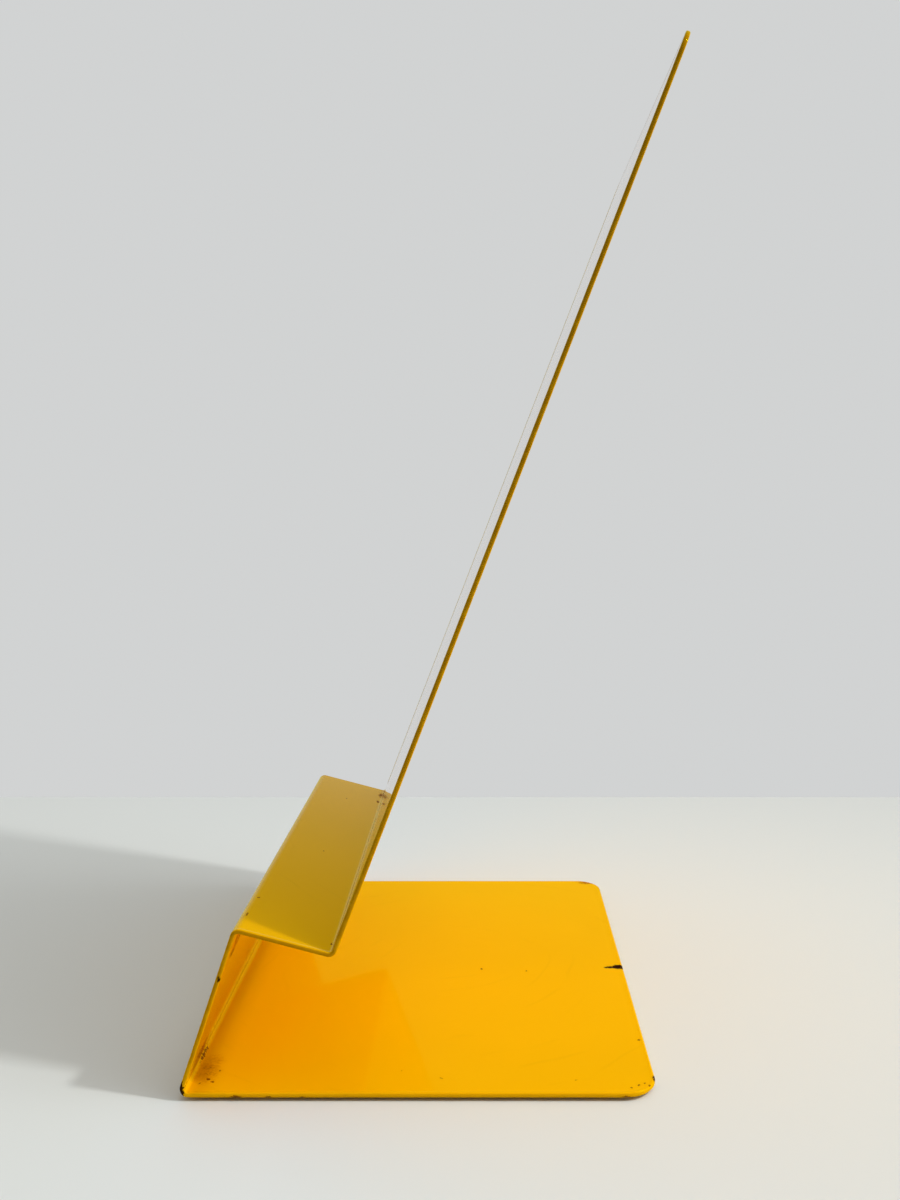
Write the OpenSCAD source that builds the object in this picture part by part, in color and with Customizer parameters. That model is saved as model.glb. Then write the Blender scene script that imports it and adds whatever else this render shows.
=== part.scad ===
// Book stand: one strip of lacquered steel sheet, folded three times, on four thin rubber feet.
// +X runs from the front fold to the rear, +Y to the reader's left, +Z up.
// The origin is on the table, under the middle of the stand's bounding box.
// Lengths are in millimetres and angles in degrees. The reader's side of the sheet is the one that
// faces the table on the base, the front on the riser, the top on the ledge and the book on the back.

/* [Sheet] */
// Thickness of the steel sheet
sheet_t = 1.5; // [1:0.1:2.5]
// Width of the stand from side to side
sheet_w = 190; // [120:1:300]
// Inside radius of the three folds
fold_r = 1.2; // [0.6:0.1:3]
// Radius of the sheet's four free corners
corner_r = 10.5; // [3:0.5:25]

/* [Base] */
// Depth of the base, from the sharp corner of the front fold to the rear edge
base_depth = 150; // [110:1:220]

/* [Riser] */
// Length of the riser on the reader's side, between the sharp corners of its folds
riser_len = 55.6; // [40:0.2:90]
// Angle of the riser above the table
riser_lean = 71.7; // [60:0.1:80]

/* [Ledge] */
// Length of the ledge on the reader's side, between the sharp corners of its folds
ledge_len = 31.6; // [20:0.2:60]
// Angle at which the ledge falls towards the back
ledge_fall = 14.6; // [5:0.1:25]

/* [Back] */
// Length of the back on the reader's side, from the sharp corner of its fold to the top edge
back_len = 310.5; // [200:0.5:360]
// Angle of the back above the table
back_lean = 68.9; // [60:0.1:80]

/* [Feet] */
// Diameter of a foot
foot_d = 12; // [8:0.5:18]
// Thickness of a foot, which is the gap between the base and the table
foot_t = 1; // [0.6:0.1:3]
// Radius of the round edge under a foot
foot_edge_r = 0.4; // [0.1:0.05:0.5]
// Distance of a foot's centre from the base's edges and from the front fold
foot_inset = 15; // [10:0.5:30]

/* [Hidden] */
$fn = 96;
sheet_colour = [0.96, 0.67, 0.01];
foot_colour = [0.09, 0.09, 0.09];
// Straight steps in the arc of each fold
fold_steps = 16;
// Excess of the sheet's blank at its free ends, which the trimming of the corners takes off
trim_excess = 5;

// Direction of each stretch of the sheet in the XZ plane, walked from the base's rear edge to the top
base_heading = 180;
riser_heading = riser_lean;
ledge_heading = -ledge_fall;
back_heading = back_lean;

// Sharp corners of the folds on the reader's side, with the front one at zero, and the top edge
front_corner = [0, 0];
lip_corner = front_corner + riser_len * direction(riser_heading);
heel_corner = lip_corner + ledge_len * direction(ledge_heading);
top_edge = heel_corner + back_len * direction(back_heading);

// Outside radius of the folds, and the length from the front fold's sharp corner to the end of its arc
fold_outer_r = fold_r + sheet_t;
front_setback = fold_outer_r * tan((base_heading - riser_heading) / 2);

// Reach of the stand from the front fold's sharp corner, and the middle of its bounding box
front_reach = front_setback - fold_outer_r;
rear_reach = max(base_depth, top_edge.x + sheet_t * sin(back_heading));
middle = (front_reach + rear_reach) / 2;

// Places of the feet
front_foot_x = front_setback + foot_inset - middle;
rear_foot_x = base_depth - foot_inset - middle;
left_foot_y = sheet_w / 2 - foot_inset;

// Unit vector at an angle from +X
function direction(angle) = [cos(angle), sin(angle)];

// Arc of a fold on the reader's side of the sheet, or on the far side. The sheet turns from one
// heading to the other round a centre on the inner side of the fold.
function fold_arc(corner, from, to, on_far_side) =
    let (
        side = sign(to - from),
        reader_r = side > 0 ? fold_r : fold_outer_r,
        far_r = side > 0 ? fold_outer_r : fold_r,
        centre = corner + reader_r / cos((to - from) / 2) * direction((from + to) / 2 + 90 * side),
        arc_r = on_far_side ? far_r : reader_r
    )
    [for (i = [0 : fold_steps]) centre + arc_r * direction(from + (to - from) * i / fold_steps - 90 * side)];

// One side of the sheet's profile, from the excess behind the base to the excess above the back
function sheet_side(on_far_side) =
    let (depth = on_far_side ? sheet_t : 0)
    concat(
        [[base_depth + trim_excess, depth]],
        fold_arc(front_corner, base_heading, riser_heading, on_far_side),
        fold_arc(lip_corner, riser_heading, ledge_heading, on_far_side),
        fold_arc(heel_corner, ledge_heading, back_heading, on_far_side),
        [top_edge + trim_excess * direction(back_heading) + depth * direction(back_heading - 90)]
    );

// Points of a list from the last to the first
function reversed(points) = [for (i = [len(points) - 1 : -1 : 0]) points[i]];

// What is cut off a free end of the sheet to leave a straight edge at X = 0 between round corners.
// The sheet runs along X with its reader's side on Z = 0.
module end_trim() {
    translate([0, 0, -trim_excess])
        linear_extrude(sheet_t + 2 * trim_excess)
            difference() {
                translate([-corner_r, -sheet_w / 2 - trim_excess])
                    square([corner_r + 2 * trim_excess, sheet_w + 2 * trim_excess]);
                translate([-corner_r, corner_r - sheet_w / 2])
                    square([corner_r, sheet_w - 2 * corner_r]);
                for (side = [-1, 1])
                    translate([-corner_r, side * (sheet_w / 2 - corner_r)])
                        circle(corner_r);
            }
}

// The sheet: its folded profile across the full width, with both free ends trimmed
module folded_sheet() {
    color(sheet_colour)
        translate([-middle, 0, foot_t])
            difference() {
                rotate([90, 0, 0])
                    linear_extrude(sheet_w, center = true)
                        polygon(concat(sheet_side(false), reversed(sheet_side(true))));
                translate([base_depth, 0, 0])
                    end_trim();
                translate([top_edge.x, 0, top_edge.y])
                    rotate([0, -back_heading, 0])
                        end_trim();
            }
}

// Rubber disc with a round lower edge, stuck to the underside of the base
module foot(x, y) {
    color(foot_colour)
        translate([x, y, 0])
            rotate_extrude() {
                square([foot_d / 2 - foot_edge_r, foot_t]);
                translate([0, foot_edge_r])
                    square([foot_d / 2, foot_t - foot_edge_r]);
                translate([foot_d / 2 - foot_edge_r, foot_edge_r])
                    circle(foot_edge_r);
            }
}

folded_sheet();
foot(front_foot_x, left_foot_y);  // front_left_foot
foot(front_foot_x, -left_foot_y);  // front_right_foot
foot(rear_foot_x, left_foot_y);  // rear_left_foot
foot(rear_foot_x, -left_foot_y);  // rear_right_foot
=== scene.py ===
"""Book stand of lacquered sheet steel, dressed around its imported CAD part.

The stand is one strip of sheet, folded three times, on four thin rubber feet. Lengths are in metres and
angles in radians. +X runs from the front fold to the rear, +Y to the reader's left and +Z up. The
reader's side of the sheet faces the table on the base, the front on the riser, the top on the ledge
and the book on the back.
"""

import math

import bmesh
import bpy
from bpy.props import FloatProperty, FloatVectorProperty, IntProperty, PointerProperty
from bpy.types import NodeSocket, Operator, Panel, PropertyGroup
from mathutils import Matrix, Vector


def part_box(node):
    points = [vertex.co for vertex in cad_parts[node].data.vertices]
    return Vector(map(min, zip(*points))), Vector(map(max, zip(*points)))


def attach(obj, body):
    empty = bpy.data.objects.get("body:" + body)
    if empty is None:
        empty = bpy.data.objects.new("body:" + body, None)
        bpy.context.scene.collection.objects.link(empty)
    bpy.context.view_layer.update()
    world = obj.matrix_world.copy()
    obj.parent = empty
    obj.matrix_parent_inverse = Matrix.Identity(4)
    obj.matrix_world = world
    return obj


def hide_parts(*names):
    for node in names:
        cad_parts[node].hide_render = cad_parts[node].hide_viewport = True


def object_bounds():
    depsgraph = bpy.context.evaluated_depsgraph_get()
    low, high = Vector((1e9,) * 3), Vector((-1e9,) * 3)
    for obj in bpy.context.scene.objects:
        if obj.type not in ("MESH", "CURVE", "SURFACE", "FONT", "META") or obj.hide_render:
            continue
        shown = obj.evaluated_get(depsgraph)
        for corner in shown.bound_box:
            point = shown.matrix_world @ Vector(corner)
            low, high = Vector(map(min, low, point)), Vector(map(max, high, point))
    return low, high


bl_info = {
    "name": "Book Stand",
    "version": (1, 0, 0),
    "blender": (4, 5, 0),
    "location": "3D View > Sidebar > Book Stand",
    "description": "Folds a book stand from worn yellow sheet steel and sets it on a plain stage",
    "category": "Object",
}

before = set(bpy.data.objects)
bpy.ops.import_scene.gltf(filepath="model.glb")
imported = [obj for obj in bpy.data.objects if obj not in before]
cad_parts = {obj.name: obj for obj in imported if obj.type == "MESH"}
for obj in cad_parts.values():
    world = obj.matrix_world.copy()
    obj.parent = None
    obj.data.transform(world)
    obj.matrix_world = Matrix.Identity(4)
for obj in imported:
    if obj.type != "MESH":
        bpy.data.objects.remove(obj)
CAD_LOW, CAD_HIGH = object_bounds()
SHEET_LOW, SHEET_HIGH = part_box("folded_sheet")
FOOT_NODES = ("front_left_foot", "front_right_foot", "rear_left_foot", "rear_right_foot")

DEVELOPED_UV = "developed_sheet"
Y_AXIS = (0.0, 1.0, 0.0)
Z_AXIS = (0.0, 0.0, 1.0)
MM = 0.001

# Places where the lacquer has chipped off the steel: the middle and the half sizes, in millimetres
CHIPS = (
    ((67.1, -2.4, 2.5), (2.9, 2.0, 1.2)),
    ((64.1, -2.9, 2.5), (3.0, 1.0, 0.8)),
    ((68.7, -86.0, 2.4), (0.7, 1.9, 0.9)),
    ((-79.8, -95.2, 3.0), (1.3, 1.7, 3.0)),
    ((-67.9, -95.0, 37.7), (0.5, 0.9, 0.8)),
    ((-66.1, -84.4, 41.8), (0.9, 2.6, 1.0)),
)

# Brown spots, most where the lacquer is rubbed through: the middle and the half sizes, in millimetres
SPECKS = (
    # The first four darken the lower half of the base's near edge, the three near the front less towards the
    # rear
    ((-62.6, -95.0, 1.5), (2.4, 0.8, 0.35)),
    ((-52.4, -95.0, 1.5), (1.3, 0.8, 0.3)),
    ((-42.1, -95.0, 1.4), (1.0, 0.8, 0.3)),
    ((59.2, -95.0, 1.4), (2.6, 0.8, 0.3)),
    ((13.5, -4.4, 2.5), (0.5, 0.9, 0.5)),
    ((31.0, -6.2, 2.5), (0.4, 0.6, 0.5)),
    ((67.1, -61.0, 2.5), (0.5, 0.7, 0.5)),
    ((-12.2, -81.4, 2.5), (0.25, 0.35, 0.5)),
    ((0.9, -86.0, 2.5), (0.3, 0.4, 0.5)),
    ((43.5, -87.0, 2.5), (0.5, 0.35, 0.5)),
    ((60.5, -91.5, 2.5), (0.5, 0.4, 0.5)),
    ((63.1, -90.2, 2.5), (0.6, 0.5, 0.5)),
    ((64.9, -89.0, 2.5), (0.4, 0.4, 0.5)),
    ((66.3, -90.4, 2.5), (0.4, 0.5, 0.5)),
    ((-75.4, -89.0, 3.0), (0.5, 0.8, 0.8)),
    ((-70.5, -81.4, 2.5), (0.4, 0.6, 0.5)),
    ((-33.7, -88.0, 46.0), (0.4, 0.9, 0.6)),
    ((-48.0, 66.6, 49.7), (0.4, 0.7, 0.6)),
    ((-47.8, -7.6, 49.7), (0.3, 0.5, 0.6)),
    ((-61.8, -82.0, 53.3), (0.5, 1.6, 0.5)),
    ((-61.1, -67.0, 53.1), (0.5, 0.7, 0.5)),
    ((-33.9, 85.0, 46.5), (1.3, 4.2, 0.9)),
    ((-34.4, 73.5, 46.6), (1.0, 2.6, 0.8)),
    ((-33.1, 91.0, 46.6), (0.9, 1.6, 0.8)),
    ((-65.6, -80.6, 43.3), (0.7, 2.2, 0.4)),
    ((-65.1, -78.6, 45.0), (0.7, 1.8, 0.3)),
    ((-65.4, -83.2, 43.6), (0.7, 1.8, 0.3)),
    ((-78.0, -84.0, 6.0), (0.7, 7.0, 0.5)),
    ((-77.0, -75.0, 8.5), (0.7, 5.0, 0.4)),
    ((-78.1, -71.0, 3.2), (0.7, 8.0, 0.6)),
    ((-73.1, -86.6, 2.5), (0.8, 0.9, 0.5)),
    ((-71.3, -88.2, 2.5), (0.6, 0.7, 0.5)),
)

# Places where brown grime has settled: the middle and the half sizes, in millimetres
SMUDGES = (
    ((-74.0, -80.0, 6.5), (7.0, 17.0, 5.4)),
    ((-63.9, -82.0, 42.0), (3.0, 12.0, 9.0)),
    ((-33.7, 84.0, 48.0), (2.2, 10.0, 2.6)),
    ((64.0, 92.5, 4.0), (8.0, 4.0, 2.6)),
)

# The ledge, where the lacquer is darkened as painted shade and its reflections turn pale at a glancing
# angle: the middle and the half sizes, in millimetres
LEDGE_SHADE_AND_HAZE = (((-47.0, 0.0, 49.0), (24.0, 260.0, 14.0)),)

# Noise textures: scale, detail and roughness
ORANGE_PEEL = (260.0, 2.0, 0.5)
RAGGED_GRAIN = (1200.0, 4.0, 0.5)
RUBBER_GRAIN = (4000.0, 2.0, 0.5)

# Patterns: a noise texture as above, the range of its values that counts, and the range it is spread to
UNEVEN_TONE = ((11.0, 3.0, 0.5), (0.3, 0.7), (0.975, 1.015))
GLOSS_DRIFT = ((30.0, 4.0, 0.5), (0.3, 0.75), (-0.015, 0.035))
ARC_BREAKS = ((35.0, 3.0, 0.5), (0.5, 0.7), (0.0, 1.0))
GRIME_SMEAR = ((230.0, 5.0, 0.65), (0.3, 0.6), (0.0, 0.68))
EDGE_PATCHES = ((240.0, 4.0, 0.5), (0.25, 0.6), (0.5, 1.0))
GRIME_DOTS = ((800.0, 3.0, 0.6), (0.57, 0.65), (0.0, 1.0))
RUST_BLOOM = ((1500.0, 3.0, 0.5), (0.42, 0.62), (0.0, 1.0))
CHIP_TEAR = ((1600.0, 3.0, 0.5), (0.3, 0.7), (-0.35, 0.35))
RUBBER_GLOSS = ((300.0, 3.0, 0.5), (0.3, 0.7), (0.62, 0.8))
RUBBER_DUST = ((700.0, 4.0, 0.6), (0.52, 0.8), (0.0, 0.25))

# Where the marks set in and where they are full, as shares of their half sizes
CHIP_FADE = (1.0, 0.88)
SPECK_FADE = (1.0, 0.6)
SMUDGE_FADE = (1.0, 0.5)
LEDGE_SHADE_AND_HAZE_FADE = (1.0, 0.75)

# How far the borders of marks are shaken, how strong the rubbed spots are, and how thick grime is dotted
RAGGED_REACH = (1.9 * MM, 1.9 * MM, 1.9 * MM)
RUBBED_STRENGTH = 0.8
DOTTED_GRIME = (0.25, 0.7)

# Crest of the rings that shows as a wiping arc
ARC_CREST = (0.93, 1.0)

# How much the wiping arcs darken the lacquer, and how much painted shade darkens it on the ledge and in the
# front fold
ARC_SHADE = 0.03
LEDGE_PAINTED_SHADE = 0.07
FOLD_SHADE_DARKENING = 0.16

# Roughness that the wiping arcs, the grime and the bare steel add
ARC_ROUGHNESS = 0.04
GRIME_ROUGHNESS = 0.4
STEEL_ROUGHNESS = 0.5

# Painted shade inside the front fold and up the inside of the riser, under the ledge: where it begins before
# the front fold, where it ends below the riser's top and how near the fold it is left out, each from no
# shade to the full shade
FOLD_SHADE_BEGINS = (14 * MM, 5 * MM)
FOLD_SHADE_ENDS = (2 * MM, 6 * MM)
FOLD_SHADE_GAP = (2 * MM, 7 * MM)

# The way that the shaded side of the sheet faces, and how nearly it has to, from none to full
FOLD_SHADE_SIDE = (1.0, 0.0, 1.0)
FOLD_SHADE_FACING = (0.1, 0.4)

# Distances from the sheet's outline: the brown rim, of thin worn lacquer and partly painted shade, and the
# lacquer's bead, from none to full
WORN_AND_SHADED_RIM = (0.1 * MM, 0.0)
BEAD_REACH = (1.5 * MM, 0.8 * MM)

# Heights between which the brown of the edges rises, and its share there: less next to the table, as painted
# light from the table
EDGE_SHADE_HEIGHTS = (2 * MM, 12 * MM)
EDGE_SHADE_SHARES = (0.25, 1.0)

# Colours of the clear coat's reflections
CLEAN_TINT = (1.0, 1.0, 0.05, 1.0)
PALE_TINT = (1.0, 1.0, 1.0, 1.0)
GRIME_TINT = (0.85, 0.6, 0.15, 1.0)
STEEL_TINT = (0.42, 0.26, 0.01, 1.0)

# Facing values at which reflections turn pale, on clean lacquer and on the haze, and how pale the haze gets
CLEAN_GRAZING = (0.82, 0.96)
HAZE_GRAZING = (0.60, 0.74)
HAZE_PALENESS = (0.0, 0.75)

# Pale dust on the rubber
DUST_COLOUR = (0.16, 0.15, 0.13, 1.0)

# The floor where it throws no light back, and the border of that stretch as shares of its distance
UNLIT_FLOOR = (0.02, 0.02, 0.02, 1.0)
TABLE_FRONT_FADE = (0.7, 1.3)

# Directions in the room, as parts of a unit vector: from the dim side to the window, from beside the stand
# to the wall behind it, and from beside the camera to behind it
DIM_TO_WINDOW = (-0.62, 1.0)
BESIDE_TO_WALL = (0.0, 0.2)
BESIDE_TO_CAMERA = (-0.05, -0.75)

# Angle above which an edge is a cut one, and cosine above which a face counts as facing some way
CUT_ANGLE = math.radians(60)
FACING = 0.999

# Distances below which places count as one
SNAP = 0.001 * MM
WELD = 0.01 * MM


class BookStandSheet(PropertyGroup):
    """Sizes of the folded sheet"""

    thickness: FloatProperty(
        name="Thickness", description="Thickness of the steel sheet", default=1.5 * MM, unit="LENGTH"
    )
    width: FloatProperty(
        name="Width",
        description="Width of the stand from side to side",
        default=SHEET_HIGH.y - SHEET_LOW.y,
        unit="LENGTH",
    )
    fold_radius: FloatProperty(
        name="Fold Radius", description="Inside radius of the three folds", default=1.2 * MM, unit="LENGTH"
    )
    corner_radius: FloatProperty(
        name="Corner Radius", description="Radius of the four free corners", default=10.5 * MM, unit="LENGTH"
    )
    edge_radius: FloatProperty(
        name="Edge Radius", description="Rounding of the cut edges", default=0.7 * MM, unit="LENGTH"
    )
    base_depth: FloatProperty(
        name="Base Depth",
        description="Depth of the base, from the sharp corner of the front fold to the rear edge",
        default=150 * MM,
        unit="LENGTH",
    )
    riser_length: FloatProperty(
        name="Riser Length",
        description="Length of the riser between the sharp corners of its folds",
        default=55.6 * MM,
        unit="LENGTH",
    )
    riser_lean: FloatProperty(
        name="Riser Lean",
        description="Angle of the riser above the table",
        default=math.radians(71.7),
        subtype="ANGLE",
    )
    ledge_length: FloatProperty(
        name="Ledge Length",
        description="Length of the ledge between the sharp corners of its folds",
        default=31.6 * MM,
        unit="LENGTH",
    )
    ledge_fall: FloatProperty(
        name="Ledge Fall",
        description="Angle at which the ledge falls towards the back",
        default=math.radians(14.6),
        subtype="ANGLE",
    )
    back_length: FloatProperty(
        name="Back Length",
        description="Length of the back from the sharp corner of its fold to the top edge",
        default=310.5 * MM,
        unit="LENGTH",
    )
    back_lean: FloatProperty(
        name="Back Lean",
        description="Angle of the back above the table",
        default=math.radians(68.9),
        subtype="ANGLE",
    )
    burr_height: FloatProperty(
        name="Burr Height",
        description="Height by which the back's cut edges are turned up on the reader's side",
        default=0.18 * MM,
        unit="LENGTH",
    )
    burr_width: FloatProperty(
        name="Burr Width", description="Width of the turned-up edges", default=2.0 * MM, unit="LENGTH"
    )
    burr_start: FloatProperty(
        name="Burr Start",
        description="Distance above the back's fold at which the edges are fully turned up",
        default=4 * MM,
        unit="LENGTH",
    )
    fold_steps: IntProperty(name="Fold Steps", description="Straight steps in the arc of a fold", default=16)
    corner_steps: IntProperty(name="Corner Steps", description="Straight steps round a corner", default=16)
    edge_steps: IntProperty(name="Edge Steps", description="Straight steps round a cut edge", default=6)


class BookStandFeet(PropertyGroup):
    """Sizes of the rubber feet"""

    edge_radius: FloatProperty(
        name="Edge Radius",
        description="Radius of the round edge under a foot",
        default=0.4 * MM,
        unit="LENGTH",
    )
    round_steps: IntProperty(name="Round Steps", description="Straight steps round a foot", default=64)
    edge_steps: IntProperty(
        name="Edge Steps", description="Straight steps in a foot's round edge", default=4
    )


class BookStandFinish(PropertyGroup):
    """Colours and gloss of the lacquer and the rubber"""

    lacquer: FloatVectorProperty(
        name="Lacquer", description="Yellow of the lacquer", default=(0.93, 0.455, 0.002), subtype="COLOR"
    )
    # Brown of the cut edges: thin worn lacquer, and partly painted shade
    worn_and_shaded_edge: FloatVectorProperty(
        name="Worn Lacquer",
        description="Brown of the thin lacquer on the cut edges",
        default=(0.58, 0.24, 0.002),
        subtype="COLOR",
    )
    bare_steel: FloatVectorProperty(
        name="Bare Steel",
        description="Dark steel where the lacquer has chipped off",
        default=(0.06, 0.03, 0.004),
        subtype="COLOR",
    )
    rust: FloatVectorProperty(
        name="Rust", description="Brown rust on the bare steel", default=(0.16, 0.06, 0.004), subtype="COLOR"
    )
    grime: FloatVectorProperty(
        name="Grime", description="Brown grime in the folds", default=(0.27, 0.095, 0.003), subtype="COLOR"
    )
    rubbed: FloatVectorProperty(
        name="Rubbed Spots",
        description="Dark brown where the lacquer is rubbed through",
        default=(0.12, 0.035, 0.002),
        subtype="COLOR",
    )
    lacquer_roughness: FloatProperty(
        name="Lacquer Roughness",
        description="Roughness of the clean lacquer",
        default=0.10,
        subtype="FACTOR",
    )
    peel_height: FloatProperty(
        name="Orange Peel", description="Waviness of the sprayed lacquer", default=0.002 * MM, unit="LENGTH"
    )
    bead_height: FloatProperty(
        name="Bead",
        description="Height of the lacquer's bead along the edges",
        default=0.06 * MM,
        unit="LENGTH",
    )
    film_thickness: FloatProperty(
        name="Film Thickness", description="Depth of a chip in the lacquer", default=0.06 * MM, unit="LENGTH"
    )
    rubber: FloatVectorProperty(
        name="Rubber", description="Black of the feet", default=(0.018, 0.018, 0.018), subtype="COLOR"
    )


class BookStandStage(PropertyGroup):
    """The floor, the wall, the light and the camera"""

    floor_colour: FloatVectorProperty(
        name="Floor", description="Pale colour of the floor", default=(0.752, 0.782, 0.758), subtype="COLOR"
    )
    table_front: FloatProperty(
        name="Table Front",
        description="Distance in front of the stand's middle past which the floor throws no light back",
        default=0.30,
        unit="LENGTH",
    )
    wall_colour: FloatVectorProperty(
        name="Wall",
        description="Pale colour of the wall behind",
        default=(0.64, 0.65, 0.65),
        subtype="COLOR",
    )
    wall_distance: FloatProperty(
        name="Wall Distance",
        description="Distance of the wall behind the stand",
        default=0.251,
        unit="LENGTH",
    )
    stage_size: FloatProperty(
        name="Stage Size", description="Length of the floor and the wall", default=8.0, unit="LENGTH"
    )
    key_size: FloatProperty(
        name="Key Size", description="Side of the soft square light", default=0.14, unit="LENGTH"
    )
    key_distance: FloatProperty(
        name="Key Distance", description="Distance of the soft light", default=3.0, unit="LENGTH"
    )
    key_power: FloatProperty(name="Key Power", description="Power of the soft light in watts", default=0.86)
    key_spread: FloatProperty(
        name="Key Spread",
        description="Angle over which the soft light spreads",
        default=math.radians(30),
        subtype="ANGLE",
    )
    key_target: FloatVectorProperty(
        name="Key Target",
        description="Where the soft light is aimed",
        default=(0.02, -0.08, 0.0),
        subtype="TRANSLATION",
        unit="LENGTH",
    )
    key_azimuth: FloatProperty(
        name="Key Azimuth",
        description="Angle by which the soft light stands in front of the right-hand side",
        default=math.radians(12.5),
        subtype="ANGLE",
    )
    key_elevation: FloatProperty(
        name="Key Elevation",
        description="Angle of the soft light above the table",
        default=math.radians(45),
        subtype="ANGLE",
    )
    window_side: FloatProperty(
        name="Window Side", description="Brightness of the room on the right", default=2.75
    )
    dim_side: FloatProperty(name="Dim Side", description="Brightness of the room on the left", default=0.33)
    room: FloatProperty(name="Room", description="Brightness of the room behind the camera", default=0.11)
    camera_place: FloatVectorProperty(
        name="Camera Place",
        description="Where the level camera stands",
        default=(0.01428, -0.442, 0.189),
        subtype="TRANSLATION",
        unit="LENGTH",
    )
    lens: FloatProperty(name="Lens", description="Focal length in millimetres", default=33.6)
    shift: FloatVectorProperty(
        name="Shift", description="Shift of the lens to the side and up", default=(-0.0281, -0.0903), size=2
    )


def direction(heading):
    """Unit vector in the XZ plane, at an angle from +X towards +Z."""
    return Vector((math.cos(heading), 0.0, math.sin(heading)))


def add_node(tree, kind, inputs=None, **settings):
    """Add a node, set its settings, and fill its inputs with values or with other nodes' outputs."""
    node = tree.nodes.new(kind)
    for name, value in settings.items():
        setattr(node, name, value)
    for name, value in (inputs or {}).items():
        socket = node.inputs[name]
        if isinstance(value, NodeSocket):
            tree.links.new(value, socket)
        else:
            socket.default_value = value
    return node


def maths(tree, operation, first, *others):
    """Output of a Math node. Further values are taken in one after another by nodes of the same kind."""
    for other in others or (0.0,):
        first = add_node(tree, "ShaderNodeMath", {0: first, 1: other}, operation=operation).outputs[0]
    return first


def vector_maths(tree, operation, first, second=(0.0, 0.0, 0.0)):
    """Output of a Vector Math node: a number for a length or a dot product, or else a vector."""
    node = add_node(tree, "ShaderNodeVectorMath", {0: first, 1: second}, operation=operation)
    return node.outputs["Value" if operation in ("LENGTH", "DOT_PRODUCT") else "Vector"]


def separate(tree, vector):
    """X, Y and Z of a vector."""
    return add_node(tree, "ShaderNodeSeparateXYZ", {"Vector": vector}).outputs


def map_range(tree, value, source, target=(0.0, 1.0), shape="SMOOTHSTEP"):
    """Map a value from one range to another, clamped at both ends."""
    ranges = {
        "Value": value,
        "From Min": source[0],
        "From Max": source[1],
        "To Min": target[0],
        "To Max": target[1],
    }
    return add_node(tree, "ShaderNodeMapRange", ranges, interpolation_type=shape).outputs["Result"]


def mix_colour(tree, factor, first, second):
    """Mix two colours. The Mix node's inputs share names, so they are picked by number."""
    return add_node(tree, "ShaderNodeMix", {0: factor, 6: first, 7: second}, data_type="RGBA").outputs[2]


def mix_number(tree, factor, first, second):
    """Mix two numbers."""
    return add_node(tree, "ShaderNodeMix", {0: factor, 2: first, 3: second}, data_type="FLOAT").outputs[0]


def noise(tree, vector, texture, output="Fac"):
    """Output of a Noise texture, from 0 to 1."""
    scale, detail, roughness = texture
    inputs = {"Vector": vector, "Scale": scale, "Detail": detail, "Roughness": roughness}
    return add_node(tree, "ShaderNodeTexNoise", inputs).outputs[output]


def pattern(tree, vector, look, shape="SMOOTHSTEP"):
    """A Noise texture whose values are spread from one range to another."""
    texture, source, target = look
    return map_range(tree, noise(tree, vector, texture), source, target, shape)


def opaque(colour):
    """A colour property with full alpha."""
    return (*colour, 1.0)


def new_material(name):
    """A material with an empty node tree and its output."""
    material = bpy.data.materials.new(name)
    material.use_nodes = True
    tree = material.node_tree
    tree.nodes.clear()
    output = add_node(tree, "ShaderNodeOutputMaterial")
    return material, tree, output


def add_object(name, bm, material, smooth=False):
    """Turn a bmesh into an object at the origin."""
    mesh = bpy.data.meshes.new(name)
    bm.to_mesh(mesh)
    bm.free()
    if smooth:
        mesh.shade_smooth()
    mesh.materials.append(material)
    piece = bpy.data.objects.new(name, mesh)
    bpy.context.scene.collection.objects.link(piece)
    return piece


def nearest_mark(tree, vector, marks):
    """Distance to the nearest of several marks, where 1 is that mark's border."""
    nearest = None
    for place, half_sizes in marks:
        offset = vector_maths(tree, "SUBTRACT", vector, Vector(place) * MM)
        share = vector_maths(tree, "DIVIDE", offset, Vector(half_sizes) * MM)
        distance = vector_maths(tree, "LENGTH", share)
        nearest = distance if nearest is None else maths(tree, "MINIMUM", nearest, distance)
    return nearest


def outline_distance(tree, developed, width, length, corner_radius):
    """Distance of a point of the developed sheet from the sheet's outline, with its round corners."""
    half = Vector((width / 2, length / 2, 0.0))
    inner = half - Vector((corner_radius, corner_radius, 0.0))
    offset = vector_maths(tree, "SUBTRACT", developed, half)
    folded = vector_maths(tree, "ABSOLUTE", offset)
    beyond = vector_maths(tree, "SUBTRACT", folded, inner)
    outside = vector_maths(tree, "LENGTH", vector_maths(tree, "MAXIMUM", beyond))
    parts = separate(tree, beyond)
    inside = maths(tree, "MINIMUM", maths(tree, "MAXIMUM", parts["X"], parts["Y"]))
    return maths(tree, "SUBTRACT", corner_radius, maths(tree, "ADD", outside, inside))


def wiping_arcs(tree, space):
    """Faint arcs that a cloth has left on the gloss: 1 on an arc."""
    rings = add_node(
        tree,
        "ShaderNodeTexWave",
        {"Vector": space, "Scale": 28.0, "Distortion": 9.0, "Detail": 2.0, "Detail Scale": 0.6},
        wave_type="RINGS",
        rings_direction="Z",
    ).outputs["Fac"]
    thin = map_range(tree, rings, ARC_CREST)
    broken = pattern(tree, space, ARC_BREAKS)
    return maths(tree, "MULTIPLY", thin, broken)


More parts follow.
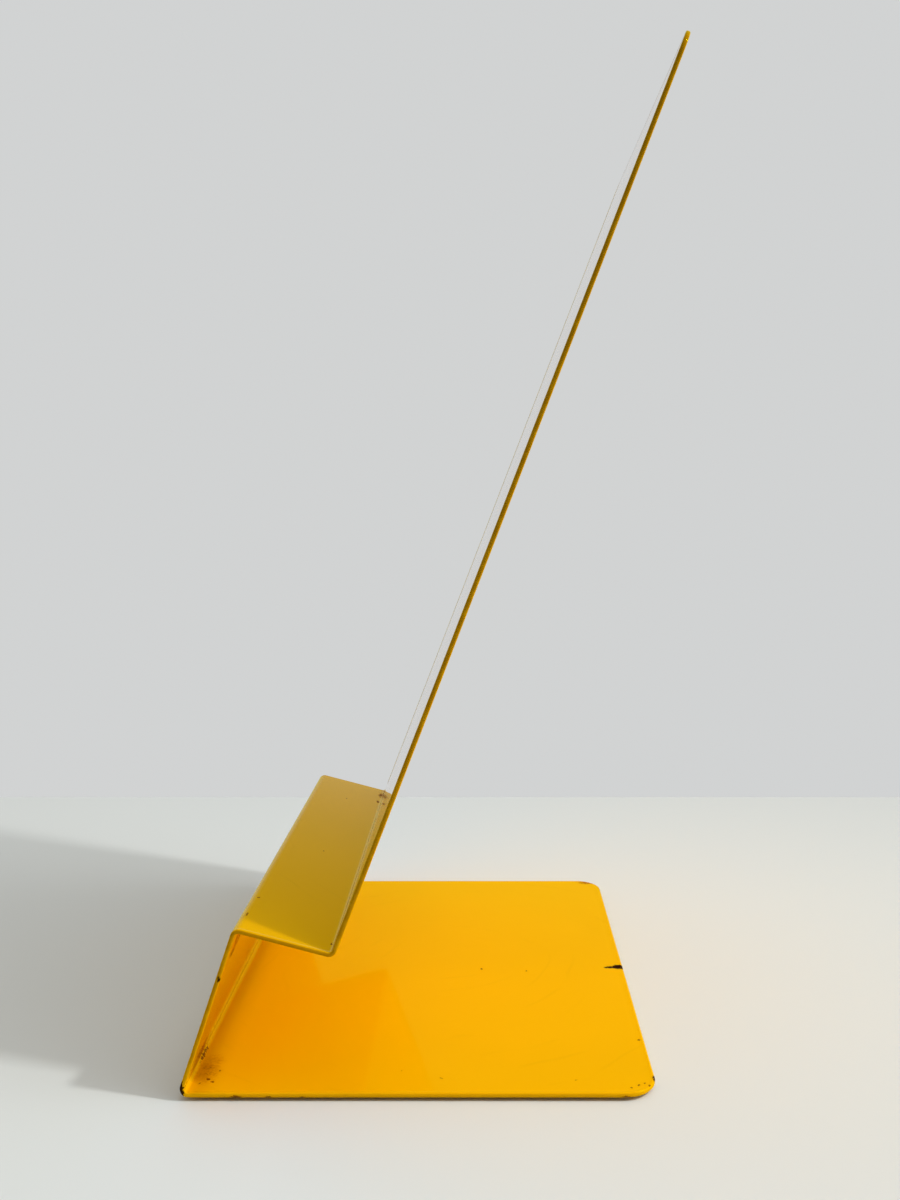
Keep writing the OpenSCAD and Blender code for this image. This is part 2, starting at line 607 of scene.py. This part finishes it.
def fold_painted_shade(tree, developed, sheet):
    """Painted shade inside the front fold and up the inside of the riser, under the ledge, left off the fold
    line itself: 1 where it is darkest.
    """
    run = separate(tree, developed)["Y"]
    before_fold = maths(tree, "SUBTRACT", sheet.base_depth, run)
    below_top = maths(tree, "SUBTRACT", sheet.base_depth + sheet.riser_length, run)
    begins = map_range(tree, before_fold, FOLD_SHADE_BEGINS)
    ends = map_range(tree, below_top, FOLD_SHADE_ENDS)
    off_fold_line = map_range(tree, maths(tree, "ABSOLUTE", before_fold), FOLD_SHADE_GAP)
    normal = add_node(tree, "ShaderNodeNewGeometry").outputs["Normal"]
    inside = map_range(tree, vector_maths(tree, "DOT_PRODUCT", normal, FOLD_SHADE_SIDE), FOLD_SHADE_FACING)
    return maths(tree, "MULTIPLY", begins, ends, off_fold_line, inside)


def ragged_space(tree, space):
    """Object coordinates shaken by a fine noise, which give marks their ragged borders."""
    shake = vector_maths(tree, "SUBTRACT", noise(tree, space, RAGGED_GRAIN, "Color"), (0.5, 0.5, 0.5))
    return vector_maths(tree, "ADD", space, vector_maths(tree, "MULTIPLY", shake, RAGGED_REACH))


def clean_colour(tree, finish, space, arcs, ledge_shade_and_haze, fold_shade):
    """Yellow of the lacquer, a little uneven, darker on the arcs, and darker still where painted shade lies
    on the ledge and in the front fold.
    """
    tone = pattern(tree, space, UNEVEN_TONE)
    for veil, shade in ((arcs, ARC_SHADE), (ledge_shade_and_haze, LEDGE_PAINTED_SHADE), (fold_shade, FOLD_SHADE_DARKENING)):
        tone = maths(tree, "SUBTRACT", tone, maths(tree, "MULTIPLY", veil, shade))
    return vector_maths(tree, "MULTIPLY", finish.lacquer[:], tone)


def edge_wear_and_shade(tree, space, edge):
    """Brown of the cut edges, partly thin worn lacquer and partly painted shade: 1 where it is full. Next to
    the table there is less, as painted light from the table.
    """
    rim = map_range(tree, edge, WORN_AND_SHADED_RIM)
    patchy = pattern(tree, space, EDGE_PATCHES)
    shade_above_table = map_range(tree, separate(tree, space)["Z"], EDGE_SHADE_HEIGHTS, EDGE_SHADE_SHARES)
    return maths(tree, "MULTIPLY", rim, patchy, shade_above_table)


def grime_and_spots(tree, space, ragged):
    """Grime that has settled, and spots where the lacquer is rubbed through: 1 where each is full."""
    cloud = map_range(tree, nearest_mark(tree, ragged, SMUDGES), SMUDGE_FADE)
    smeared = pattern(tree, space, GRIME_SMEAR)
    dots = pattern(tree, space, GRIME_DOTS)
    dotted = maths(tree, "MULTIPLY", dots, map_range(tree, cloud, DOTTED_GRIME))
    spot = map_range(tree, nearest_mark(tree, ragged, SPECKS), SPECK_FADE)
    grime = maths(tree, "MULTIPLY", cloud, smeared)
    rubbed = maths(tree, "MULTIPLY", maths(tree, "MAXIMUM", dotted, spot), RUBBED_STRENGTH)
    return grime, rubbed


def torn_chips(tree, space, ragged):
    """Chips with torn borders: 1 where the lacquer is gone."""
    tear = pattern(tree, space, CHIP_TEAR, "LINEAR")
    torn = maths(tree, "ADD", nearest_mark(tree, ragged, CHIPS), tear)
    return map_range(tree, torn, CHIP_FADE)


def rusty_steel(tree, finish, space):
    """Colour of the bare steel, with brown rust on it in places."""
    rusty = pattern(tree, space, RUST_BLOOM)
    return mix_colour(tree, rusty, opaque(finish.bare_steel), opaque(finish.rust))


def uneven_roughness(tree, finish, space, arcs, grime, chip):
    """Roughness of the lacquer: higher on the arcs, the grime and the bare steel."""
    drift = pattern(tree, space, GLOSS_DRIFT)
    dirty = maths(tree, "MULTIPLY", grime, GRIME_ROUGHNESS)
    bare = maths(tree, "MULTIPLY", chip, STEEL_ROUGHNESS)
    wiped = maths(tree, "MULTIPLY", arcs, ARC_ROUGHNESS)
    return maths(tree, "ADD", drift, finish.lacquer_roughness, maths(tree, "MAXIMUM", dirty, bare), wiped)


def lacquer_relief(tree, finish, space, edge, chip):
    """Two normals: one with the lacquer's bead and chips, and one with its orange peel too."""
    bead = map_range(tree, edge, BEAD_REACH, (0.0, finish.bead_height))
    relief = maths(tree, "SUBTRACT", bead, maths(tree, "MULTIPLY", chip, finish.film_thickness))
    smooth_normal = add_node(tree, "ShaderNodeBump", {"Distance": 1.0, "Height": relief}).outputs["Normal"]
    peel = maths(tree, "MULTIPLY", noise(tree, space, ORANGE_PEEL), finish.peel_height)
    waves = {"Distance": 1.0, "Height": peel, "Normal": smooth_normal}
    normal = add_node(tree, "ShaderNodeBump", waves).outputs["Normal"]
    return smooth_normal, normal


def coat_tint(tree, normal, ledge_shade_and_haze, dirt, chip):
    """Colour of the coat's reflections: yellow, but pale at a glancing angle and on the haze."""
    facing = add_node(tree, "ShaderNodeLayerWeight", {"Normal": normal}).outputs["Facing"]
    grazing = map_range(tree, facing, CLEAN_GRAZING)
    glancing = map_range(tree, facing, HAZE_GRAZING, HAZE_PALENESS, "LINEAR")
    haze = maths(tree, "MULTIPLY", ledge_shade_and_haze, glancing)
    tint = mix_colour(tree, maths(tree, "MAXIMUM", grazing, haze), CLEAN_TINT, PALE_TINT)
    tint = mix_colour(tree, dirt, tint, GRIME_TINT)
    return mix_colour(tree, chip, tint, STEEL_TINT)


def lacquer_material(finish, sheet, length):
    """Gloss yellow lacquer, a little wavy, brown on the cut edges from thin lacquer and painted shade,
    chipped and grimy in places, with painted shade on the ledge and in the front fold.
    """
    material, tree, output = new_material("yellow_lacquer")
    space = add_node(tree, "ShaderNodeTexCoord").outputs["Object"]
    developed = add_node(tree, "ShaderNodeUVMap", uv_map=DEVELOPED_UV).outputs["UV"]
    edge = outline_distance(tree, developed, sheet.width, length, sheet.corner_radius)
    ragged = ragged_space(tree, space)
    arcs = wiping_arcs(tree, space)
    # Ledge mask: painted shade on the ledge, and paler reflections there at a glancing angle
    ledge_shade_and_haze = map_range(tree, nearest_mark(tree, space, LEDGE_SHADE_AND_HAZE), LEDGE_SHADE_AND_HAZE_FADE)
    # Painted shade inside the front fold and on the riser's inside under the ledge
    fold_shade = fold_painted_shade(tree, developed, sheet)
    grime, rubbed = grime_and_spots(tree, space, ragged)
    chip = torn_chips(tree, space, ragged)

    # The clean yellow already carries painted shade on the ledge and in the front fold
    colour = clean_colour(tree, finish, space, arcs, ledge_shade_and_haze, fold_shade)
    # Brown cut edges: thin worn lacquer and painted shade, kept lighter next to the table as painted light
    colour = mix_colour(tree, edge_wear_and_shade(tree, space, edge), colour, opaque(finish.worn_and_shaded_edge))
    colour = mix_colour(tree, grime, colour, opaque(finish.grime))
    colour = mix_colour(tree, rubbed, colour, opaque(finish.rubbed))
    colour = mix_colour(tree, chip, colour, rusty_steel(tree, finish, space))

    smooth_normal, normal = lacquer_relief(tree, finish, space, edge, chip)
    dirt = maths(tree, "MAXIMUM", grime, rubbed)
    shader = add_node(
        tree,
        "ShaderNodeBsdfPrincipled",
        {
            "Base Color": colour,
            "Roughness": uneven_roughness(tree, finish, space, arcs, grime, chip),
            "IOR": 1.5,
            "Coat Weight": 1.0,
            "Coat Roughness": 0.03,
            "Coat IOR": 1.03,
            "Coat Tint": coat_tint(tree, smooth_normal, ledge_shade_and_haze, dirt, chip),
            "Normal": normal,
            "Coat Normal": smooth_normal,
        },
    )
    tree.links.new(shader.outputs["BSDF"], output.inputs["Surface"])
    return material


def rubber_material(finish):
    """Matt black rubber with a fine grain and a little pale dust."""
    material, tree, output = new_material("foot_rubber")
    space = add_node(tree, "ShaderNodeTexCoord").outputs["Object"]
    dust = pattern(tree, space, RUBBER_DUST)
    colour = mix_colour(tree, dust, opaque(finish.rubber), DUST_COLOUR)
    roughness = pattern(tree, space, RUBBER_GLOSS)
    grain = {"Strength": 0.25, "Distance": 0.05 * MM, "Height": noise(tree, space, RUBBER_GRAIN)}
    normal = add_node(tree, "ShaderNodeBump", grain).outputs["Normal"]
    looks = {"Base Color": colour, "Roughness": roughness, "Normal": normal}
    shader = add_node(tree, "ShaderNodeBsdfPrincipled", looks)
    tree.links.new(shader.outputs["BSDF"], output.inputs["Surface"])
    return material


def round_off(bm, geom, radius, steps, affect):
    """Round edges or corners with a bevel."""
    bmesh.ops.bevel(
        bm,
        geom=geom,
        offset=radius,
        offset_type="OFFSET",
        affect=affect,
        segments=steps,
        profile=0.5,
        material=-1,
    )


def folded_chain(bm, sheet):
    """Walk the near end of the sheet on the reader's side, from the base's rear edge to the top edge."""
    headings = (math.pi, sheet.riser_lean, -sheet.ledge_fall, sheet.back_lean)
    lengths = (sheet.base_depth, sheet.riser_length, sheet.ledge_length, sheet.back_length)
    outer_radius = sheet.fold_radius + sheet.thickness
    front_turn = headings[0] - headings[1]
    front_reach = outer_radius * (math.tan(front_turn / 2) - 1)
    front_corner = Vector((SHEET_LOW.x - front_reach, -sheet.width / 2, SHEET_LOW.z))
    corner = front_corner - sheet.base_depth * direction(math.pi)
    vert = bmesh.ops.create_vert(bm, co=corner)["vert"][0]
    for step, (heading, length) in enumerate(zip(headings, lengths)):
        corner = corner + length * direction(heading)
        vert = bmesh.ops.extrude_vert_indiv(bm, verts=[vert])["verts"][0]
        if step == len(headings) - 1:
            vert.co = corner
            break
        turn = headings[step + 1] - heading
        side = math.copysign(1.0, turn)
        radius = sheet.fold_radius if turn > 0 else outer_radius
        vert.co = corner - radius * math.tan(abs(turn) / 2) * direction(heading)
        centre = vert.co + radius * direction(heading + side * math.pi / 2)
        spun = bmesh.ops.spin(
            bm, geom=[vert], cent=centre, axis=Y_AXIS, angle=-turn, steps=sheet.fold_steps, use_merge=False
        )
        vert = next(item for item in spun["geom_last"] if isinstance(item, bmesh.types.BMVert))


def measure_run(bm):
    """Note on each vertex of the chain how far along the sheet it lies."""
    run = bm.verts.layers.float.new("run")
    bm.verts.ensure_lookup_table()
    walked = 0.0
    vert = bm.verts[0]
    edge = None
    while True:
        vert[run] = walked
        edge = next((other for other in vert.link_edges if other is not edge), None)
        if edge is None:
            break
        walked += edge.calc_length()
        vert = edge.other_vert(vert)


def lay_out(bm, sheet):
    """Give the strip a UV map that is the developed sheet, in metres. Returns the developed length."""
    run = bm.verts.layers.float["run"]
    developed = bm.loops.layers.uv.new(DEVELOPED_UV)
    for face in bm.faces:
        for loop in face.loops:
            loop[developed].uv = (loop.vert.co.y + sheet.width / 2, loop.vert[run])
    length = max(vert[run] for vert in bm.verts)
    bm.verts.layers.float.remove(run)
    return length


def turn_up_edges(bm, sheet):
    """Turn the back's cut edges up a little on the reader's side, as shears leave them."""
    up_the_back = direction(sheet.back_lean)
    to_reader = direction(sheet.back_lean + math.pi / 2)
    facing_reader = [face for face in bm.faces if face.normal.dot(to_reader) > FACING]
    back = max(facing_reader, key=lambda face: face.calc_area())
    fold_line = min(vert.co.dot(up_the_back) for vert in back.verts)
    full_line = fold_line + sheet.burr_start
    cut = bmesh.ops.bisect_plane(
        bm,
        geom=[back, *back.edges, *back.verts],
        dist=SNAP,
        plane_co=full_line * up_the_back,
        plane_no=up_the_back,
    )
    flat = [item for item in cut["geom"] if isinstance(item, bmesh.types.BMFace)]
    rim = bmesh.ops.inset_region(bm, faces=flat, thickness=sheet.burr_width, use_even_offset=True)["faces"]
    inner = {vert for face in flat for vert in face.verts}
    outer = {vert for face in rim for vert in face.verts} - inner
    for vert in outer:
        if vert.co.dot(up_the_back) > full_line - WELD:
            vert.co += sheet.burr_height * to_reader


def sheet_bmesh(sheet):
    """The folded sheet, of even thickness, with round corners and cut edges, and its developed length."""
    bm = bmesh.new()
    folded_chain(bm, sheet)
    measure_run(bm)
    across = bmesh.ops.extrude_edge_only(bm, edges=bm.edges[:])
    far_end = [item for item in across["geom"] if isinstance(item, bmesh.types.BMVert)]
    bmesh.ops.translate(bm, verts=far_end, vec=(0.0, sheet.width, 0.0))
    length = lay_out(bm, sheet)

    free_corners = [vert for vert in bm.verts if len(vert.link_edges) == 2]
    round_off(bm, free_corners, sheet.corner_radius, sheet.corner_steps, "VERTICES")
    bmesh.ops.recalc_face_normals(bm, faces=bm.faces[:])
    bmesh.ops.solidify(bm, geom=bm.faces[:], thickness=sheet.thickness)
    bmesh.ops.recalc_face_normals(bm, faces=bm.faces[:])
    turn_up_edges(bm, sheet)

    cut_edges = [edge for edge in bm.edges if edge.calc_face_angle() > CUT_ANGLE]
    round_off(bm, cut_edges, sheet.edge_radius, sheet.edge_steps, "EDGES")
    return bm, length


def foot_bmesh(feet, low, high):
    """A rubber disc with a round lower edge, in the box of its CAD foot."""
    centre = (low + high) / 2
    bm = bmesh.new()
    vert = bmesh.ops.create_vert(bm, co=(centre.x, centre.y, low.z))["vert"][0]
    for x, z in ((high.x, low.z), (high.x, high.z), (centre.x, high.z)):
        vert = bmesh.ops.extrude_vert_indiv(bm, verts=[vert])["verts"][0]
        vert.co = (x, centre.y, z)
    bmesh.ops.spin(
        bm,
        geom=bm.edges[:] + bm.verts[:],
        cent=centre,
        axis=Z_AXIS,
        angle=2 * math.pi,
        steps=feet.round_steps,
        use_merge=True,
    )
    bmesh.ops.remove_doubles(bm, verts=bm.verts[:], dist=WELD)
    bmesh.ops.recalc_face_normals(bm, faces=bm.faces[:])
    cut_edges = [edge for edge in bm.edges if edge.calc_face_angle(0.0) > CUT_ANGLE]
    lower_edge = [edge for edge in cut_edges if max(vert.co.z for vert in edge.verts) < centre.z]
    round_off(bm, lower_edge, feet.edge_radius, feet.edge_steps, "EDGES")
    return bm


def finish_normals(piece):
    """Let the large faces carry the shading, so that flats stay flat between their round edges."""
    weighted = piece.modifiers.new("weighted_normals", "WEIGHTED_NORMAL")
    weighted.mode = "FACE_AREA"
    weighted.weight = 100
    weighted.keep_sharp = True


def one_sided(tree, output, shader, hidden):
    """Show a stage surface, but let rays through where it is to stay out of the way."""
    clear = add_node(tree, "ShaderNodeBsdfTransparent").outputs["BSDF"]
    mixed = add_node(tree, "ShaderNodeMixShader", {0: hidden, 1: shader, 2: clear}).outputs["Shader"]
    tree.links.new(mixed, output.inputs["Surface"])


def floor_material(stage):
    """Pale matt floor. From below it is clear, and then light also comes up through it under the stand."""
    material, tree, output = new_material("stage_floor")
    space = add_node(tree, "ShaderNodeTexCoord").outputs["Object"]
    light_path = add_node(tree, "ShaderNodeLightPath").outputs
    from_below = add_node(tree, "ShaderNodeNewGeometry").outputs["Backfacing"]
    centre = (CAD_LOW + CAD_HIGH) / 2
    reach = (CAD_HIGH - CAD_LOW) / 2
    offset = vector_maths(tree, "ABSOLUTE", vector_maths(tree, "SUBTRACT", space, centre))
    beyond = separate(tree, vector_maths(tree, "SUBTRACT", offset, reach))
    under_stand = maths(tree, "LESS_THAN", maths(tree, "MAXIMUM", beyond["X"], beyond["Y"]), 0.0)
    seen_through = maths(tree, "GREATER_THAN", light_path["Transparent Depth"], 0.5)
    bounced = maths(tree, "LESS_THAN", light_path["Is Camera Ray"], 0.5)
    let_in = maths(tree, "MULTIPLY", under_stand, seen_through, bounced)
    border = [-share * stage.table_front for share in TABLE_FRONT_FADE]
    in_front = map_range(tree, separate(tree, space)["Y"], border)
    unlit = maths(tree, "MULTIPLY", in_front, light_path["Is Diffuse Ray"])
    colour = mix_colour(tree, unlit, opaque(stage.floor_colour), UNLIT_FLOOR)
    shader = add_node(tree, "ShaderNodeBsdfDiffuse", {"Color": colour}).outputs["BSDF"]
    one_sided(tree, output, shader, maths(tree, "MAXIMUM", from_below, let_in))
    return material


def wall_material(stage):
    """Pale wall that is as bright as it looks. From behind it is clear."""
    material, tree, output = new_material("stage_wall")
    from_behind = add_node(tree, "ShaderNodeNewGeometry").outputs["Backfacing"]
    shader = add_node(tree, "ShaderNodeEmission", {"Color": opaque(stage.wall_colour)}).outputs["Emission"]
    one_sided(tree, output, shader, from_behind)
    return material


def stage_plane(name, centre, turn, size, material):
    """A square stage plane. It faces up, turned by an angle about X."""
    bm = bmesh.new()
    bmesh.ops.create_grid(bm, x_segments=1, y_segments=1, size=size / 2)
    bmesh.ops.rotate(bm, verts=bm.verts[:], cent=(0.0, 0.0, 0.0), matrix=Matrix.Rotation(turn, 3, "X"))
    bmesh.ops.translate(bm, verts=bm.verts[:], vec=centre)
    plane = add_object(name, bm, material)
    return plane


def light_room(stage):
    """The room's soft light: pale above and beside, dark behind the camera, and pale where it is seen."""
    world = bpy.data.worlds.new("room")
    bpy.context.scene.world = world
    world.use_nodes = True
    tree = world.node_tree
    tree.nodes.clear()
    towards = add_node(tree, "ShaderNodeTexCoord").outputs["Generated"]
    parts = separate(tree, towards)
    sides = map_range(tree, parts["X"], DIM_TO_WINDOW, (stage.dim_side, stage.window_side))
    behind_stand = map_range(tree, parts["Y"], BESIDE_TO_WALL)
    walled = mix_number(tree, behind_stand, sides, stage.wall_colour[1])
    behind_camera = map_range(tree, parts["Y"], BESIDE_TO_CAMERA)
    brightness = mix_number(tree, behind_camera, walled, stage.room)
    light_path = add_node(tree, "ShaderNodeLightPath").outputs
    rays = [light_path[kind] for kind in ("Is Camera Ray", "Is Glossy Ray", "Is Transmission Ray")]
    seen = maths(tree, "MAXIMUM", *rays)
    light = vector_maths(tree, "MULTIPLY", (1.0, 1.0, 1.0), brightness)
    colour = mix_colour(tree, seen, light, opaque(stage.wall_colour))
    background = add_node(tree, "ShaderNodeBackground", {"Color": colour})
    output = add_node(tree, "ShaderNodeOutputWorld")
    tree.links.new(background.outputs["Background"], output.inputs["Surface"])


def hang_key_light(stage):
    """One soft square light from the right, a little in front of the stand."""
    key = bpy.data.lights.new("key_light", "AREA")
    key.shape = "SQUARE"
    key.size = stage.key_size
    key.energy = stage.key_power
    key.spread = stage.key_spread
    towards = Vector((
        math.cos(stage.key_elevation) * math.cos(stage.key_azimuth),
        -math.cos(stage.key_elevation) * math.sin(stage.key_azimuth),
        math.sin(stage.key_elevation),
    ))
    lamp = bpy.data.objects.new("key_light", key)
    lamp.location = stage.key_distance * towards
    lamp.rotation_euler = (lamp.location - Vector(stage.key_target)).to_track_quat("Z", "Y").to_euler()
    lamp.visible_camera = False
    bpy.context.scene.collection.objects.link(lamp)


def set_camera(stage):
    """A level camera that looks along +Y, with its lens shifted to the photograph's framing."""
    lens = bpy.data.cameras.new("camera")
    lens.lens = stage.lens
    lens.shift_x = stage.shift[0]
    lens.shift_y = stage.shift[1]
    camera = bpy.data.objects.new("camera", lens)
    camera.location = stage.camera_place
    camera.rotation_euler = (math.pi / 2, 0.0, 0.0)
    bpy.context.scene.collection.objects.link(camera)
    bpy.context.scene.camera = camera


class BOOKSTAND_OT_set_stage(Operator):
    """Set up the camera, the floor, the wall and the light"""

    bl_idname = "bookstand.set_stage"
    bl_label = "Set Stage"

    def execute(self, context):
        stage = context.scene.book_stand_stage
        context.scene.view_settings.view_transform = "Standard"
        set_camera(stage)
        stage_plane("floor", (0.0, 0.0, 0.0), 0.0, stage.stage_size, floor_material(stage))
        wall_centre = (0.0, stage.wall_distance, 0.0)
        wall = stage_plane("wall", wall_centre, math.pi / 2, stage.stage_size, wall_material(stage))
        wall.visible_diffuse = False
        wall.visible_shadow = False
        light_room(stage)
        hang_key_light(stage)
        return {"FINISHED"}


class BOOKSTAND_OT_fold_sheet(Operator):
    """Fold the sheet and give it its worn yellow lacquer"""

    bl_idname = "bookstand.fold_sheet"
    bl_label = "Fold Sheet"

    def execute(self, context):
        sheet = context.scene.book_stand_sheet
        bm, length = sheet_bmesh(sheet)
        lacquer = lacquer_material(context.scene.book_stand_finish, sheet, length)
        piece = add_object("lacquered_sheet", bm, lacquer, smooth=True)
        finish_normals(piece)
        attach(piece, "root")
        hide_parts("folded_sheet")
        return {"FINISHED"}


class BOOKSTAND_OT_fit_feet(Operator):
    """Stick the rubber feet under the base"""

    bl_idname = "bookstand.fit_feet"
    bl_label = "Fit Feet"

    def execute(self, context):
        feet = context.scene.book_stand_feet
        rubber = rubber_material(context.scene.book_stand_finish)
        for node in FOOT_NODES:
            piece = add_object("rubber_" + node, foot_bmesh(feet, *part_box(node)), rubber, smooth=True)
            finish_normals(piece)
            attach(piece, "root")
            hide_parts(node)
        return {"FINISHED"}


class BOOKSTAND_PT_stand(Panel):
    """Sizes, finish and stage of the book stand"""

    bl_idname = "BOOKSTAND_PT_stand"
    bl_label = "Book Stand"
    bl_space_type = "VIEW_3D"
    bl_region_type = "UI"
    bl_category = "Book Stand"

    def draw(self, context):
        for name, group in SETTINGS.items():
            box = self.layout.box()
            for setting in group.__annotations__:
                box.prop(getattr(context.scene, name), setting)
        for operator in OPERATORS:
            self.layout.operator(operator.bl_idname)


OPERATORS = (BOOKSTAND_OT_set_stage, BOOKSTAND_OT_fold_sheet, BOOKSTAND_OT_fit_feet)
SETTINGS = {
    "book_stand_sheet": BookStandSheet,
    "book_stand_feet": BookStandFeet,
    "book_stand_finish": BookStandFinish,
    "book_stand_stage": BookStandStage,
}
CLASSES = (*SETTINGS.values(), *OPERATORS, BOOKSTAND_PT_stand)


def register():
    """Register the classes and give every scene the settings."""
    for cls in CLASSES:
        bpy.utils.register_class(cls)
    for name, group in SETTINGS.items():
        setattr(bpy.types.Scene, name, PointerProperty(type=group))


def unregister():
    """Take the settings off the scenes and unregister the classes."""
    for name in SETTINGS:
        delattr(bpy.types.Scene, name)
    for cls in reversed(CLASSES):
        bpy.utils.unregister_class(cls)


def main():
    """Build the stand on its stage."""
    register()
    bpy.ops.bookstand.set_stage()
    bpy.ops.bookstand.fold_sheet()
    bpy.ops.bookstand.fit_feet()


if __name__ == "__main__":
    main()
